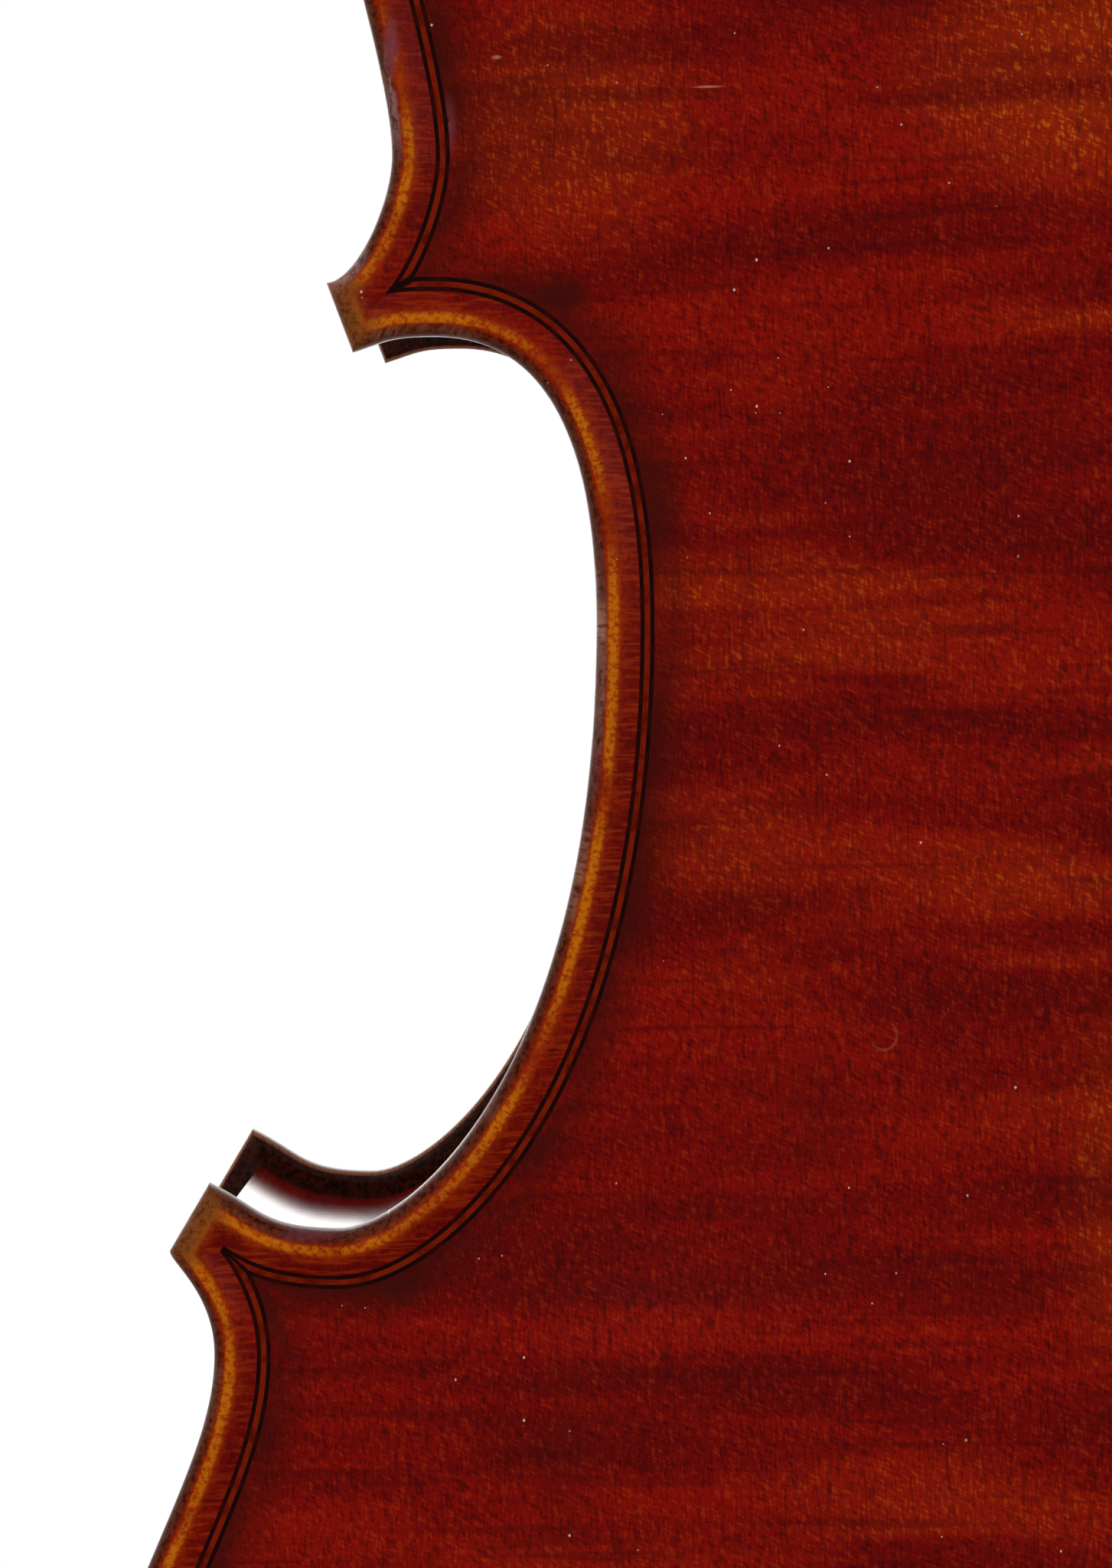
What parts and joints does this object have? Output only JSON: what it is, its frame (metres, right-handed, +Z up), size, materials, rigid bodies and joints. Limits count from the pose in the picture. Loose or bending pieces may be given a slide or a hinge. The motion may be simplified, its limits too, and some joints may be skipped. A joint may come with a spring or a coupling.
{
  "type": "viola",
  "caption": "Viola with an arched maple back, purfled edges, sound holes, pegs, bridge, tailpiece and a fine tuner.",
  "frame": {"origin": "the centre of the end button's flat end", "axes": "+Z up towards the scroll, +Y out of the belly where the strings are, +X to the bass side"},
  "size_m": [0.2406, 0.1141, 0.6753],
  "materials": {
    "varnished_maple": "gloss",
    "varnished_spruce": "gloss",
    "willow": "raw",
    "inner_spruce": "raw",
    "bridge_maple": "satin",
    "ebony": "satin",
    "purfling": "gloss",
    "wound_steel": "satin",
    "nickel": "gloss",
    "tail_cord": "matte"
  },
  "bodies": {
    "viola": {"back_plate": "varnished_maple", "top_plate": "varnished_spruce", "purfling_back": "purfling", "purfling_top_bass": "purfling", "purfling_top_treble": "purfling", "rib_lower_bass": "varnished_maple", "rib_lower_treble": "varnished_maple", "rib_waist_bass": "varnished_maple", "rib_waist_treble": "varnished_maple", "rib_upper_bass": "varnished_maple", "rib_upper_treble": "varnished_maple", "lining_lower_bass_back": "willow", "lining_lower_bass_front": "willow", "lining_lower_treble_back": "willow", "lining_lower_treble_front": "willow", "lining_waist_bass_back": "willow", "lining_waist_bass_front": "willow", "lining_waist_treble_back": "willow", "lining_waist_treble_front": "willow", "lining_upper_bass_back": "willow", "lining_upper_bass_front": "willow", "lining_upper_treble_back": "willow", "lining_upper_treble_front": "willow", "corner_block_lower_bass": "willow", "corner_block_lower_treble": "willow", "corner_block_upper_bass": "willow", "corner_block_upper_treble": "willow", "upper_block": "willow", "lower_block": "willow", "bass_bar": "inner_spruce", "sound_post": "inner_spruce", "neck": "varnished_maple", "fingerboard": "ebony", "nut": "ebony", "saddle": "ebony", "tailpiece": "ebony", "end_button": "ebony", "bridge": "bridge_maple", "string_c": "wound_steel", "string_g": "wound_steel", "string_d": "wound_steel", "string_a": "wound_steel", "tuner_collar": "nickel", "tailgut": "tail_cord"},
    "peg_c": {"peg_c": "ebony", "string_c_winding": "wound_steel"},
    "peg_g": {"peg_g": "ebony", "string_g_winding": "wound_steel"},
    "peg_d": {"peg_d": "ebony", "string_d_winding": "wound_steel"},
    "peg_a": {"peg_a": "ebony", "string_a_winding": "wound_steel"},
    "tuner_screw": {"tuner_screw": "nickel"},
    "tuner_screw_head": {"tuner_screw_head": "nickel"},
    "tuner_lever": {"tuner_lever": "nickel"}
  },
  "joints": [
    {"name": "peg_c_turn", "type": "hinge", "parent": "viola", "child": "peg_c", "pos_m": [0, -0.00268, 0.57996], "axis": [1, 0, 0], "continuous": true},
    {"name": "peg_g_turn", "type": "hinge", "parent": "viola", "child": "peg_g", "pos_m": [0, -0.01591, 0.61558], "axis": [1, 0, 0], "continuous": true},
    {"name": "peg_d_turn", "type": "hinge", "parent": "viola", "child": "peg_d", "pos_m": [0, -0.02065, 0.6301], "axis": [-1, 0, 0], "continuous": true},
    {"name": "peg_a_turn", "type": "hinge", "parent": "viola", "child": "peg_a", "pos_m": [0, -0.00807, 0.5944], "axis": [-1, 0, 0], "continuous": true},
    {"name": "tuner_advance", "type": "slide", "parent": "viola", "child": "tuner_screw", "axis": [0, -0.9727, 0.2322], "range_m": [0, 0.003]},
    {"name": "tuner_turn", "type": "hinge", "parent": "tuner_screw", "child": "tuner_screw_head", "pos_m": [-0.01613, 0.06182, 0.12215], "axis": [0, -0.9727, 0.2322], "range_deg": [0, 2160]},
    {"name": "tuner_lever_tilt", "type": "hinge", "parent": "viola", "child": "tuner_lever", "pos_m": [-0.01613, 0.04704, 0.14109], "axis": [-1, 0, 0], "range_deg": [0, 12.6]}
  ],
  "couplings": [
    {"joint": "tuner_turn", "follows": "tuner_advance", "rad_per_m": 12566},
    {"joint": "tuner_lever_tilt", "follows": "tuner_advance", "rad_per_m": 72.722}
  ]
}
